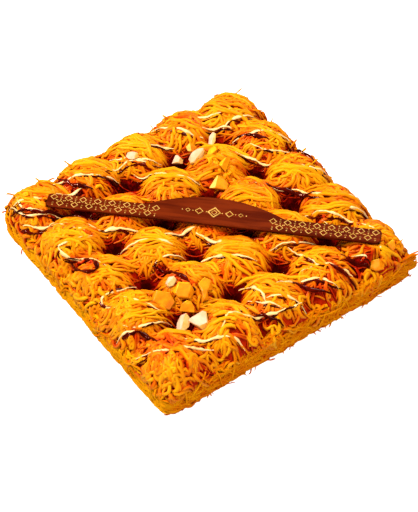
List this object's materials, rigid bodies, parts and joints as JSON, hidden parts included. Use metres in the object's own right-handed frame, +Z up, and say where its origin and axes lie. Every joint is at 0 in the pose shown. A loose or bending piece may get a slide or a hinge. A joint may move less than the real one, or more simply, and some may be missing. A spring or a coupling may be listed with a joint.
{
  "type": "kunafa profiterole slab",
  "caption": "Square slab of cream puffs baked in shredded pastry, with sauce, piped drizzle, chopped almonds and a chocolate plaque across the top.",
  "frame": {"origin": "middle of the slab's underside", "axes": "+Z up; +X and +Y along the slab's sides, with the front corner of the picture at +X -Y and the plaque along the +X +Y diagonal"},
  "size_m": [0.2764, 0.2762, 0.0509],
  "materials": {
    "pastry": "crisp shredded pastry soaked in caramel syrup, yellow-orange on top and darker orange in the hollows",
    "plaque_chocolate": "smooth milk chocolate with a fine gold print, darker glossy edge",
    "pale_almond": "blanched almond, creamy white",
    "golden_almond": "almond glazed golden with syrup"
  },
  "bodies": {
    "root": {"pastry_slab": "pastry", "plaque": "plaque_chocolate", "almond_01": "pale_almond", "almond_02": "golden_almond", "almond_03": "golden_almond", "almond_04": "golden_almond", "almond_05": "golden_almond", "almond_06": "pale_almond", "almond_07": "pale_almond", "almond_08": "golden_almond", "almond_09": "pale_almond", "almond_10": "golden_almond", "almond_11": "pale_almond", "almond_12": "pale_almond", "almond_13": "pale_almond", "almond_14": "golden_almond", "almond_15": "golden_almond", "almond_16": "golden_almond", "almond_17": "golden_almond"}
  },
  "joints": []
}
